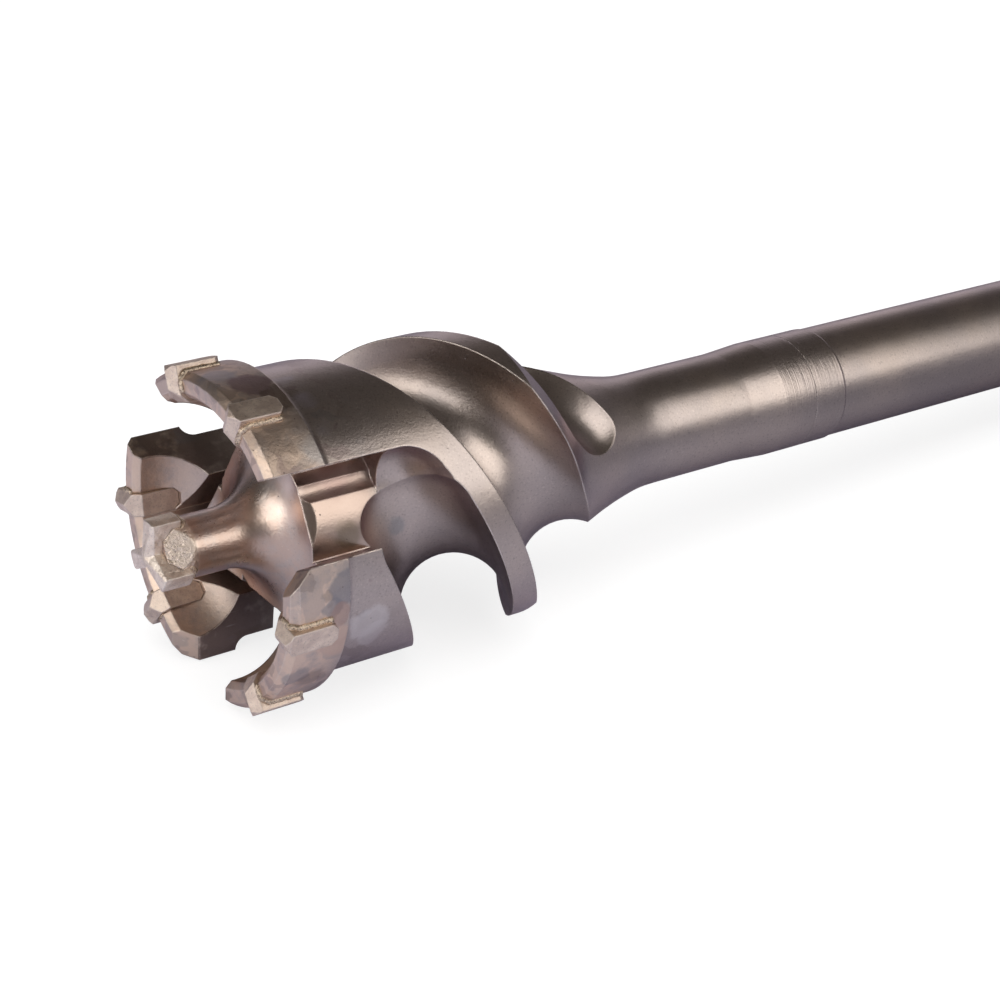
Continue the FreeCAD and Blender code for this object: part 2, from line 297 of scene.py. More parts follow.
    def warped(self, size: float, reach: float) -> Socket:
        """The place pushed about by noise, for ragged outlines.

        Args:
            size: The size of the push's features in millimetres.
            reach: How far it pushes, in millimetres.

        Returns:
            The warped place.
        """
        made = self.node("ShaderNodeTexNoise")
        made.inputs["Scale"].default_value = 1 / size
        made.inputs["Detail"].default_value = 3.0
        self.feed(made.inputs["Vector"], self.place)
        centred = self.node("ShaderNodeVectorMath", operation="SUBTRACT")
        self.feed(centred.inputs[0], made.outputs["Color"])
        centred.inputs[1].default_value = (0.5, 0.5, 0.5)
        scaled = self.node("ShaderNodeVectorMath", operation="MULTIPLY_ADD")
        self.feed(scaled.inputs[0], centred.outputs[0])
        scaled.inputs[1].default_value = (2 * reach,) * 3
        self.feed(scaled.inputs[2], self.place)
        return scaled.outputs[0]

    def distance(self, place: Socket, centre: tuple[float, float, float]) -> Socket:
        """How far a place is from a point of the tool.

        Args:
            place: The place, plain or warped.
            centre: The point in the tool's own millimetres.

        Returns:
            The distance in millimetres.
        """
        made = self.node("ShaderNodeVectorMath", operation="DISTANCE")
        self.feed(made.inputs[0], place)
        made.inputs[1].default_value = centre
        return made.outputs["Value"]

    def pits(self, size: float, share: float) -> Socket:
        """Small scattered pits.

        Args:
            size: The spacing of the pits in millimetres.
            share: How much of the spacing a pit fills.

        Returns:
            A mask that is 1 in the pits.
        """
        made = self.node("ShaderNodeTexVoronoi")
        made.inputs["Scale"].default_value = 1 / size
        self.feed(made.inputs["Vector"], self.warped(size, size * 0.15))
        return self.fade(made.outputs["Distance"], share, share * 0.5)

    def blend(self, factor: Feed, first: Feed, second: Feed) -> Socket:
        """Mix two colours.

        Args:
            factor: 0 for the first, 1 for the second.
            first: The first colour.
            second: The second colour.

        Returns:
            The mixed colour.
        """
        made = self.node("ShaderNodeMix", data_type="RGBA")
        self.feed(made.inputs[0], factor)
        self.feed(made.inputs[6], first)
        self.feed(made.inputs[7], second)
        return made.outputs[2]

    def tint(self, colour: Feed, tone: Feed, mask: Feed, share: float) -> Socket:
        """Lay a tone over a colour.

        Args:
            colour: The colour so far.
            tone: The tone to lay on.
            mask: Where it goes.
            share: How much of it shows there.

        Returns:
            The new colour.
        """
        return self.blend(self.maths("MULTIPLY", mask, share), colour, tone)

    def worn_edge(self, width: float) -> tuple[Socket, Socket]:
        """Find the edges of the steel.

        Args:
            width: How far the wear reaches from the edge, in millimetres.

        Returns:
            The softened normal, and a mask that is 1 on the edges.
        """
        soft = self.node("ShaderNodeBevel", samples=6)
        soft.inputs["Radius"].default_value = width * MM
        flat = self.node("ShaderNodeNewGeometry")
        match = self.node("ShaderNodeVectorMath", operation="DOT_PRODUCT")
        self.feed(match.inputs[0], soft.outputs["Normal"])
        self.feed(match.inputs[1], flat.outputs["Normal"])
        return soft.outputs["Normal"], self.fade(match.outputs["Value"], 0.985, 0.90)

    def raise_surface(self, height: Socket, normal: Socket) -> None:
        """Turn a height in millimetres into the surface's bump.

        Args:
            height: The height field.
            normal: The normal that it starts from.
        """
        bump = self.node("ShaderNodeBump")
        bump.inputs["Distance"].default_value = MM
        self.feed(bump.inputs["Height"], height)
        self.feed(bump.inputs["Normal"], normal)
        self.feed(self.shader.inputs["Normal"], bump.outputs["Normal"])

    def total(self, *parts: tuple[Feed, float]) -> Socket:
        """A weighted sum of values.

        Args:
            *parts: Pairs of a value and its weight.

        Returns:
            The sum.
        """
        result: Feed = 0.0
        for value, weight in parts:
            result = self.maths("ADD", result, self.maths("MULTIPLY", value, weight))
        return result


@dataclass(frozen=True)
class StainOrPaintedLight:
    """A patch at one place of the tool: a heat tint or dirt stain, or a painted highlight or sheen
    that stands in for light.

    The centre and size are in millimetres, and the edge is the soft share of the size.
    """

    centre: tuple[float, float, float]
    size: float
    colour: Colour
    strength: float
    edge: float


@dataclass(frozen=True)
class BlastedSteel:
    """Blasted gunmetal steel with a bronze cast, for the shaft and the head."""

    name: str
    cool: Colour = (0.49, 0.415, 0.375)
    warm: Colour = (0.56, 0.465, 0.405)
    worn: Colour = (0.82, 0.72, 0.63)
    grazing: Colour = (0.86, 0.78, 0.90)
    dark_grain: Colour = (0.26, 0.21, 0.185)
    light_grain: Colour = (0.76, 0.66, 0.58)
    pit: Colour = (0.16, 0.13, 0.12)
    roughness: float = 0.32
    edge_width: float = 0.45
    grain_size: float = 0.42
    grain_height: float = 0.028
    collar_start: float = 131.0
    collar_end: float = 148.0

    def base(self, sheet: NodeSheet) -> tuple[Socket, Socket]:
        """Lay down the bare metal.

        Args:
            sheet: The material's nodes.

        Returns:
            Its colour and its fine grain.
        """
        clouds = sheet.fade(sheet.grain(19.0, 3.0, 0.55), 0.36, 0.64)
        colour = sheet.blend(clouds, self.cool, self.warm)
        speckle = sheet.grain(self.grain_size, 1.5, 0.6)
        dark = sheet.fade(speckle, 0.44, 0.27)
        light = sheet.fade(speckle, 0.58, 0.76)
        colour = sheet.tint(colour, self.dark_grain, dark, 0.42)
        colour = sheet.tint(colour, self.light_grain, light, 0.40)
        return colour, speckle

    def rings(self, sheet: NodeSheet) -> Socket:
        """Fine turning lines, strong on the collar and faint on the shaft behind the head.

        Args:
            sheet: The material's nodes.

        Returns:
            Their height in millimetres.
        """
        lines = sheet.grain(0.34, 1.0, 0.5, sheet.stretched(1.0, 0.012))
        collar = sheet.band(sheet.along, self.collar_start, self.collar_end, 0.3)
        shaft = sheet.fade(sheet.along, 100.0, 112.0)
        weight = sheet.total((collar, 0.030), (shaft, 0.004))
        return sheet.maths("MULTIPLY", lines, weight)

    def settle(self, sheet: NodeSheet, colour: Socket, height: Socket, speckle: Socket,
               dull: Feed = 0.0) -> None:
        """Add the worn edges and connect the shader.

        Args:
            sheet: The material's nodes.
            colour: The colour so far.
            height: The height field in millimetres.
            speckle: The fine grain.
            dull: How much rougher than usual the surface is.
        """
        normal, edge = sheet.worn_edge(self.edge_width)
        scuffed = sheet.all_of(edge, sheet.fade(sheet.grain(2.6, 3.0, 0.6), 0.34, 0.56))
        colour = sheet.tint(colour, self.worn, scuffed, 0.75)
        patchy = sheet.grain(6.5, 3.0, 0.6)
        rough = sheet.total((1.0, self.roughness - 0.10), (patchy, 0.13), (speckle, 0.07),
                            (scuffed, -0.06), (dull, 1.0))
        sheet.feed(sheet.shader.inputs["Base Color"], colour)
        sheet.feed(sheet.shader.inputs["Roughness"], rough)
        sheet.shader.inputs["Specular Tint"].default_value = (*self.grazing, 1.0)
        sheet.raise_surface(height, normal)


@dataclass(frozen=True)
class ShaftSteel(BlastedSteel):
    """The shaft and shank: even blasted steel with turning lines on the collar."""

    dust: Colour = (0.30, 0.25, 0.25)

    def make(self, axis: ToolAxis) -> bpy.types.Material:
        """Build the material.

        Args:
            axis: The tool's axis.

        Returns:
            The finished material.
        """
        sheet = NodeSheet(self.name, axis)
        colour, speckle = self.base(sheet)
        dust = sheet.fade(sheet.grain(3.4, 4.0, 0.7, sheet.stretched(0.3, 1.0)), 0.60, 0.74)
        colour = sheet.tint(colour, self.dust, dust, 0.25)
        pits = sheet.all_of(sheet.pits(1.9, 0.10), sheet.fade(sheet.grain(17.0), 0.57, 0.66))
        colour = sheet.tint(colour, self.pit, pits, 0.5)
        height = sheet.total((speckle, self.grain_height), (self.rings(sheet), 1.0), (pits, -0.03),
                             (sheet.grain(1.6, 2.0), 0.020))
        self.settle(sheet, colour, height, speckle)
        return sheet.material


@dataclass(frozen=True)
class HeadSteel(BlastedSteel):
    """The milled head: gunmetal flutes, a coppery crown and heat tint round the brazing, with
    painted highlights on the hub and painted sheen behind the ring.
    """

    pit: Colour = (0.15, 0.12, 0.11)
    copper: Colour = (0.60, 0.44, 0.35)
    brown: Colour = (0.22, 0.155, 0.12)
    plum: Colour = (0.30, 0.205, 0.20)
    slate: Colour = (0.27, 0.262, 0.275)
    straw: Colour = (0.84, 0.64, 0.49)
    tan: Colour = (0.70, 0.50, 0.385)
    # Painted sheen: a pale lavender that stands in for the grazing reflection on the lands behind
    # the ring.
    painted_lavender_sheen: Colour = (0.70, 0.63, 0.72)
    cream: Colour = (0.84, 0.70, 0.57)
    bronze: Colour = (0.56, 0.415, 0.33)
    burnt: Colour = (0.21, 0.145, 0.125)
    rust: Colour = (0.44, 0.29, 0.24)
    soot: Colour = (0.31, 0.30, 0.29)
    slot_half_width: float = 8.18
    gap_angles: tuple[float, ...] = (-90.0, 30.0, 150.0)

    def zones(self, sheet: NodeSheet, colour: Socket) -> Socket:
        """Warm the crown and the pilot, which the brazing heated.

        Args:
            sheet: The material's nodes.
            colour: The bare metal's colour.

        Returns:
            The colour with its zones.
        """
        mottle = sheet.grain(4.2, 4.0, 0.62)
        hub = sheet.fade(sheet.radius, 19.0, 12.5)
        front = sheet.fade(sheet.along, 30.0, 14.0)
        warm_hub = sheet.all_of(hub, front, sheet.fade(mottle, 0.30, 0.62))
        colour = sheet.tint(colour, self.copper, warm_hub, 0.85)
        face = sheet.fade(sheet.along, 13.5, 6.0)
        straw = sheet.all_of(face, sheet.fade(sheet.radius, 16.0, 20.0),
                             sheet.fade(mottle, 0.20, 0.60))
        colour = sheet.tint(colour, self.straw, straw, 0.80)
        nose = sheet.all_of(sheet.fade(sheet.along, -3.6, -4.6), sheet.fade(mottle, 0.25, 0.5))
        colour = sheet.tint(colour, self.cream, nose, 0.8)
        inner = sheet.all_of(sheet.band(sheet.radius, 16.5, 26.6, 0.5),
                             sheet.fade(sheet.along, 19.0, 14.0))
        colour = sheet.tint(colour, self.plum, inner, 0.12)
        strip = sheet.all_of(sheet.band(sheet.radius, 14.0, 17.4, 0.3),
                             sheet.band(sheet.along, 13.0, 27.0, 1.5))
        colour = sheet.tint(colour, self.bronze, strip, 0.75)
        burnt = sheet.all_of(self.slot_faces(sheet), sheet.fade(sheet.along, 27.0, 13.0),
                             sheet.fade(sheet.grain(5.0, 3.0, 0.6), 0.28, 0.50))
        return sheet.tint(colour, self.burnt, burnt, 0.80)

    def slot_faces(self, sheet: NodeSheet) -> Socket:
        """Find the flat side faces of the three slots, outside the hub.

        Args:
            sheet: The material's nodes.

        Returns:
            A mask that is 1 on them.
        """
        faces: Feed = 0.0
        for angle in self.gap_angles:
            turn = math.radians(angle)
            aside = sheet.maths("ADD", sheet.maths("MULTIPLY", sheet.far, -math.sin(turn)),
                                sheet.maths("MULTIPLY", sheet.top, math.cos(turn)))
            off = sheet.maths("ABSOLUTE", sheet.maths(
                "SUBTRACT", sheet.maths("ABSOLUTE", aside), self.slot_half_width))
            near = sheet.all_of(sheet.fade(off, 0.35, 0.15), sheet.facing(angle, 30.0, 2.0))
            faces = sheet.maths("MAXIMUM", faces, near)
        return sheet.all_of(faces, sheet.fade(sheet.radius, 17.0, 18.0))

    def tinted(self, sheet: NodeSheet, colour: Socket) -> Socket:
        """Ragged patches of heat tint on the crown ring and behind it, then the single stains,
        painted highlights and painted sheen.

        Args:
            sheet: The material's nodes.
            colour: The colour so far.

        Returns:
            The colour with its patches.
        """
        place = sheet.warped(5.0, 2.4)
        ring = sheet.all_of(sheet.fade(sheet.radius, 27.0, 28.0),
                            sheet.fade(sheet.along, 27.0, 15.0))
        patches = ((6.5, 0.55, self.brown, 0.34), (8.5, 0.57, self.slate, 0.28),
                   (5.0, 0.61, self.plum, 0.36))
        for size, low, tone, share in patches:
            cloud = sheet.grain(size, 2.0, 0.5, place)
            patch = sheet.all_of(ring, sheet.fade(cloud, low, low + 0.035))
            colour = sheet.tint(colour, tone, patch, share)
        # Single patches: real stains, plus painted highlights on the hub and painted lavender
        # sheen behind the ring.
        for stain_or_light in self.stains_and_painted_light():
            away = sheet.distance(place, stain_or_light.centre)
            inside = sheet.fade(away, stain_or_light.size, stain_or_light.size * (1 - stain_or_light.edge))
            colour = sheet.tint(colour, stain_or_light.colour, inside, stain_or_light.strength)
        return colour

    def stains_and_painted_light(self) -> list[StainOrPaintedLight]:
        """The single patches that have a place of their own.

        Returns:
            Those of the near lobe, the upper lobe, the hub and window, and the land; the two pale
            hub patches are painted highlights and the lavender ones behind the ring are painted
            sheen.
        """
        return [
            StainOrPaintedLight((10.4, -31.1, 2.5), 3.8, self.slate, 0.65, 0.25),
            StainOrPaintedLight((7.6, -31.2, -0.4), 2.6, self.slate, 0.60, 0.25),
            StainOrPaintedLight((9.8, -30.1, -8.1), 4.8, self.tan, 0.70, 0.40),
            StainOrPaintedLight((9.0, -31.0, -2.4), 2.8, self.rust, 0.60, 0.30),
            StainOrPaintedLight((3.0, -27.6, -14.6), 2.8, self.slate, 0.50, 0.30),
            StainOrPaintedLight((6.5, -26.8, -16.5), 3.2, self.brown, 0.45, 0.40),
            StainOrPaintedLight((17.6, -27.7, -7.6), 4.6, (0.72, 0.66, 0.62), 0.60, 0.30),
            StainOrPaintedLight((19.4, -26.6, -11.0), 3.4, (0.70, 0.64, 0.60), 0.50, 0.40),
            StainOrPaintedLight((3.6, 2.0, 31.1), 4.2, (0.36, 0.345, 0.37), 0.65, 0.45),
            StainOrPaintedLight((7.4, -3.4, 31.0), 4.6, self.plum, 0.80, 0.30),
            StainOrPaintedLight((9.6, -8.6, 30.0), 3.8, self.brown, 0.70, 0.30),
            StainOrPaintedLight((10.6, -19.6, 24.2), 3.6, (0.66, 0.61, 0.57), 0.55, 0.60),
            # Painted highlights: these two soft pale patches on the hub's flare by the pilot stand
            # in for the lamp's glint there.
            StainOrPaintedLight((12.2, -8.8, 8.7), 5.4, (0.88, 0.72, 0.62), 0.75, 0.85),
            StainOrPaintedLight((8.4, -6.3, 4.1), 3.4, (0.84, 0.64, 0.53), 0.55, 0.85),
            StainOrPaintedLight((15.7, -9.9, 13.0), 3.2, (0.25, 0.17, 0.14), 0.70, 0.50),
            StainOrPaintedLight((20.5, -10.3, 12.6), 5.0, (0.40, 0.27, 0.23), 0.75, 0.70),
            StainOrPaintedLight((25.0, -9.8, 13.1), 3.0, (0.30, 0.21, 0.18), 0.60, 0.70),
            StainOrPaintedLight((20.6, -16.0, 3.6), 3.4, (0.30, 0.235, 0.165), 0.70, 0.60),
            StainOrPaintedLight((32.5, -13.6, 1.3), 2.6, self.soot, 0.60, 0.45),
            # Painted sheen: soft lavender patches just behind the ring's rear edge on the upper
            # lobe stand in for the grazing reflection there.
            StainOrPaintedLight((15.0, -1.0, 30.9), 3.6, self.painted_lavender_sheen, 0.60, 0.80),
            StainOrPaintedLight((15.6, -8.0, 29.6), 3.6, self.painted_lavender_sheen, 0.60, 0.80),
            StainOrPaintedLight((16.4, -14.6, 26.8), 3.0, self.painted_lavender_sheen, 0.50, 0.80),
        ]

    def scars(self, sheet: NodeSheet) -> tuple[Socket, Socket]:
        """Pits and fine scratches.

        Args:
            sheet: The material's nodes.

        Returns:
            The pits' and the scratches' masks.
        """
        pits = sheet.all_of(sheet.pits(1.7, 0.11), sheet.fade(sheet.grain(13.0), 0.55, 0.64))
        streak = sheet.grain(1.4, 2.0, 0.6, sheet.stretched(0.10, 1.0))
        scratch = sheet.all_of(sheet.fade(streak, 0.70, 0.76),
                               sheet.fade(sheet.grain(9.0), 0.52, 0.6))
        return pits, scratch

    def make(self, axis: ToolAxis) -> bpy.types.Material:
        """Build the material.

        Args:
            axis: The tool's axis.

        Returns:
            The finished material.
        """
        sheet = NodeSheet(self.name, axis)
        colour, speckle = self.base(sheet)
        colour = self.zones(sheet, colour)
        colour = self.tinted(sheet, colour)
        pits, scratch = self.scars(sheet)
        colour = sheet.tint(colour, self.pit, pits, 0.65)
        colour = sheet.tint(colour, self.worn, scratch, 0.35)
        crust = sheet.all_of(sheet.fade(sheet.along, 17.0, 5.0), sheet.grain(0.62, 2.5, 0.65))
        hammered = sheet.all_of(sheet.fade(sheet.along, -4.0, -5.2), sheet.grain(0.9, 3.0, 0.7))
        dents = sheet.grain(2.2, 2.0, 0.5)
        height = sheet.total((speckle, self.grain_height), (crust, 0.055), (hammered, 0.45),
                             (pits, -0.05), (scratch, -0.012), (dents, 0.030),
                             (self.rings(sheet), 1.7))
        ring = sheet.all_of(sheet.fade(sheet.along, 13.0, 10.5),
                            sheet.fade(sheet.radius, 17.0, 20.0))
        hub = sheet.all_of(sheet.fade(sheet.along, 26.0, 20.0),
                           sheet.fade(sheet.radius, 18.0, 15.0))
        dull = sheet.total((ring, 0.13), (hub, -0.02))
        self.settle(sheet, colour, height, speckle, dull)
        return sheet.material


@dataclass(frozen=True)
class Carbide:
    """Matt sintered carbide with a granular skin and a few flecks of braze."""

    name: str
    body: Colour
    dark: Colour
    fleck: Colour = (0.88, 0.72, 0.56)
    pore: Colour = (0.17, 0.13, 0.12)
    worn: Colour = (0.78, 0.70, 0.64)
    grazing: Colour = (0.88, 0.82, 0.90)
    roughness: float = 0.50
    grain_size: float = 0.38
    grain_height: float = 0.050
    chips: float = 0.07

    def make(self, axis: ToolAxis) -> bpy.types.Material:
        """Build the material.

        Args:
            axis: The tool's axis.

        Returns:
            The finished material.
        """
        sheet = NodeSheet(self.name, axis)
        fine = sheet.grain(self.grain_size, 2.0, 0.65)
        broad = sheet.grain(2.4, 3.0, 0.6)
        colour = sheet.blend(sheet.fade(broad, 0.36, 0.66), self.dark, self.body)
        colour = sheet.tint(colour, self.pore, sheet.fade(fine, 0.46, 0.30), 0.28)
        flecks = sheet.fade(sheet.grain(1.1, 3.0, 0.7), 0.60, 0.70)
        colour = sheet.tint(colour, self.fleck, flecks, 0.35)
        normal, edge = sheet.worn_edge(0.40)
        colour = sheet.tint(colour, self.worn, edge, 0.55)
        rough = sheet.total((1.0, self.roughness - 0.10), (fine, 0.12), (broad, 0.10))
        height = sheet.total((fine, self.grain_height), (sheet.grain(1.0, 2.0), self.chips))
        sheet.feed(sheet.shader.inputs["Base Color"], colour)
        sheet.feed(sheet.shader.inputs["Roughness"], rough)
        sheet.shader.inputs["Specular Tint"].default_value = (*self.grazing, 1.0)
        sheet.raise_surface(height, normal)
        return sheet.material


@dataclass(frozen=True)
class BrazeMetal:
    """Golden granular braze, dull and lumpy."""

    name: str
    gold: Colour = (0.78, 0.63, 0.47)
    dross: Colour = (0.28, 0.20, 0.15)
    bright: Colour = (0.80, 0.69, 0.58)

    def make(self, axis: ToolAxis) -> bpy.types.Material:
        """Build the material.

        Args:
            axis: The tool's axis.

        Returns:
            The finished material.
        """
        sheet = NodeSheet(self.name, axis)
        grit = sheet.grain(0.33, 3.0, 0.7)
        lumps = sheet.grain(0.9, 2.0, 0.6)
        colour = sheet.blend(sheet.fade(grit, 0.34, 0.58), self.dross, self.gold)
        colour = sheet.tint(colour, self.bright, sheet.fade(lumps, 0.55, 0.70), 0.4)
        rough = sheet.total((1.0, 0.36), (lumps, 0.20))
        height = sheet.total((grit, 0.09), (lumps, 0.12))
        normal, _ = sheet.worn_edge(0.2)
        sheet.feed(sheet.shader.inputs["Base Color"], colour)
        sheet.feed(sheet.shader.inputs["Roughness"], rough)
        sheet.raise_surface(height, normal)
        return sheet.material


@dataclass(frozen=True)
class Seam:
    """A lumpy bead of braze along a line of places on the tool, sized in millimetres."""

    radius: float
    lump: float
    lump_size: float = 0.7
    sides: int = 12
    step: float = 0.40
    weld: float = 0.002

    def run(self, points: list[Vector]) -> list[Vector]:
        """Divide a line into short, even steps.

        Args:
            points: The line's corners, in metres.

        Returns:
            Points a step apart along it.
        """
        placed = [points[0]]
        for start, end in zip(points, points[1:]):
            count = max(1, round((end - start).length / (self.step * MM)))
            placed += [start.lerp(end, index / count) for index in range(1, count + 1)]
        return placed

    def section(self, place: Vector, way: Vector, outward: Vector) -> Matrix:
        """The matrix that sets the bead's round section across the line.

        Args:
            place: The section's middle.
            way: The direction of the line there.
            outward: A direction that points out of the tool.

        Returns:
            The matrix.
        """
        side = way.cross(outward).normalized()
        up = side.cross(way).normalized()
        turned = Matrix((side, up, way)).transposed().to_4x4()
        return Matrix.Translation(place) @ turned

    def mesh(self, name: str, corners: list[Vector], axis: ToolAxis) -> bpy.types.Mesh:
        """Extrude the bead along its line and roughen it.

        Args:
            name: The mesh's name.
            corners: The line's corners, in metres.
            axis: The tool's axis.

        Returns:
            The closed mesh.
        """
        line = self.run(corners)
        shape = bmesh.new()
        frames = []
        for index, place in enumerate(line):
            ahead = line[min(index + 1, len(line) - 1)] - line[max(index - 1, 0)]
            spoke = place - axis.origin
            outward = spoke - axis.direction * spoke.dot(axis.direction)
            frames.append(self.section(place, ahead.normalized(), outward.normalized()))
        bmesh.ops.create_circle(shape, cap_ends=True, cap_tris=False, segments=self.sides,
                                radius=self.radius * MM, matrix=frames[0])
        rim = list(shape.edges)
        for before, after in zip(frames, frames[1:]):
            grown = bmesh.ops.extrude_edge_only(shape, edges=rim)["geom"]
            moved = [item for item in grown if isinstance(item, bmesh.types.BMVert)]
            bmesh.ops.transform(shape, matrix=after @ before.inverted(), verts=moved)
            rim = [edge for edge in grown if isinstance(edge, bmesh.types.BMEdge)
                   and all(vert in moved for vert in edge.verts)]
        bmesh.ops.contextual_create(shape, geom=rim)
        bmesh.ops.remove_doubles(shape, verts=shape.verts, dist=self.weld * MM)
        bmesh.ops.recalc_face_normals(shape, faces=shape.faces)
        shape.normal_update()
        for vert in shape.verts:
            swell = noise.noise(vert.co / (self.lump_size * MM))
            vert.co += vert.normal * swell * self.lump * MM
        for face in shape.faces:
            face.smooth = True
        mesh = bpy.data.meshes.new(name)
        shape.to_mesh(mesh)
        shape.free()
        log.info("%s: %d sections", name, len(line))
        return mesh

    def lay(self, name: str, corners: list[Vector], axis: ToolAxis,
            finish: bpy.types.Material) -> None:
        """Make the bead as a piece of the tool.

        Args:
            name: The piece's name.
            corners: The line's corners, in metres.
            axis: The tool's axis.
            finish: Its material.
        """
        bead = bpy.data.objects.new(name, self.mesh(name, corners, axis))
        bpy.context.scene.collection.objects.link(bead)
        bead.data.materials.append(finish)
        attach(bead, "root")


@dataclass
class CrownBraze:
    """The braze along both sides of the six crown inserts, on the ring's front and outside."""

    axis: ToolAxis
    finish: bpy.types.Material
    lobe_angles: tuple[float, ...] = (-30.0, 90.0, 210.0)
    wide_sides: tuple[int, ...] = (1, 1, -1)
    insert_offset: float = 20.6
    ring_radius: float = 31.05
    chamfer_radius: float = 30.0
    chamfer_depth: float = 1.3
    inner_radius: float = 27.6
    half_width: float = 2.35
    rear: float = 7.9
    wide_bead: Seam = Seam(radius=0.72, lump=0.20)
    thin_bead: Seam = Seam(radius=0.34, lump=0.08)

    def corners(self, angle: float, side: int) -> list[Vector]:
        """The line along one side of an insert, from the cavity over the front to its rear.

        Args:
            angle: The insert's angle in degrees.
            side: 1 or -1, for the two sides.

        Returns:
            The line's corners, in metres.
        """
        aside = self.half_width * side
        line = [(0.15, self.inner_radius), (0.15, self.chamfer_radius),
                (self.chamfer_depth, self.ring_radius), (self.rear, self.ring_radius)]
        return [self.axis.place(along, radius, angle, aside) for along, radius in line]

    def build(self) -> None:
        """Lay the twelve seams, a wide one and a thin one to each insert."""
        count = 0
        for lobe, wide_side in zip(self.lobe_angles, self.wide_sides):
            for offset in (-self.insert_offset, self.insert_offset):
                for side in (-1, 1):
                    count += 1
                    bead = self.wide_bead if side == wide_side else self.thin_bead
                    bead.lay(f"crown_braze_{count}", self.corners(lobe + offset, side),
                             self.axis, self.finish)
        log.info("crown braze: %d seams", count)


@dataclass
class PilotBraze:
    """The braze along the arms of the pilot insert, on the pilot's nose."""

    axis: ToolAxis
    finish: bpy.types.Material
    arm_angles: tuple[float, ...] = (-30.0, 90.0, 210.0)
    half_width: float = 1.8
    front: tuple[float, float] = (-9.0, 3.4)
    middle: tuple[float, float] = (-5.4, 5.45)
    rear: tuple[float, float] = (-4.7, 5.75)
    rear_narrowing: float = 0.6
    bead: Seam = Seam(radius=0.5, lump=0.2, lump_size=0.8)

    def corners(self, angle: float) -> list[Vector]:
        """The line round one arm, from its front along both sides.

        Args:
            angle: The arm's angle in degrees.

        Returns:
            The line's corners, in metres.
        """
        sides = [(*self.front, self.half_width), (*self.middle, self.half_width),
                 (*self.rear, self.half_width * self.rear_narrowing)]
        around = sides + [(along, radius, -aside) for along, radius, aside in reversed(sides)]
        return [self.axis.place(along, radius, angle, aside) for along, radius, aside in around]

    def build(self) -> None:
        """Lay the three seams."""
        for index, angle in enumerate(self.arm_angles, 1):
            self.bead.lay(f"pilot_braze_{index}", self.corners(angle), self.axis, self.finish)
        log.info("pilot braze: %d seams", len(self.arm_angles))


@dataclass
class SteelAndCarbide:
    """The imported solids, dressed in their finishes."""

    axis: ToolAxis
    nodes: dict[str, bpy.types.Object]

    def dress(self) -> None:
        """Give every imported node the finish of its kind."""
        head = HeadSteel(Slot.HEAD.value).make(self.axis)
        shaft = ShaftSteel(Slot.SHANK.value).make(self.axis)
        carbide = Carbide(Slot.CARBIDE.value, body=(0.84, 0.70, 0.575),
                          dark=(0.68, 0.545, 0.45)).make(self.axis)
        pilot = Carbide(Slot.PILOT.value, body=(0.95, 0.83, 0.71), dark=(0.80, 0.67, 0.56),
                        chips=0.22).make(self.axis)
        single = {"drill_head": head, "shank": shaft, "pilot_insert": pilot}
        for name, node in self.nodes.items():
            finish = single.get(name, carbide)
            node.data.materials.clear()
            node.data.materials.append(finish)
            log.info("%s wears %s", name, finish.name)


@dataclass(frozen=True)
class Lamp:
    """A soft rectangular lamp that faces the head, with sizes in metres and power in watts."""

    name: str
    way: tuple[float, float, float]
    distance: float
    width: float
    height: float
    power: float
    seen_in_metal: bool = True

    def hang(self, target: Vector) -> None:
        """Put the lamp up.

        Args:
            target: The point it faces.
        """
        data = bpy.data.lights.new(self.name, "AREA")
        data.shape = "RECTANGLE"
        data.size, data.size_y = self.width, self.height
        data.energy = self.power
        lamp = bpy.data.objects.new(self.name, data)
        way = Vector(self.way).normalized()
        lamp.location = target + way * self.distance
        lamp.rotation_euler = way.to_track_quat("Z", "Y").to_euler()
        lamp.visible_glossy = self.seen_in_metal
        lamp.visible_camera = False
        bpy.context.scene.collection.objects.link(lamp)
        log.info("lamp %s: %.0f W", self.name, self.power)


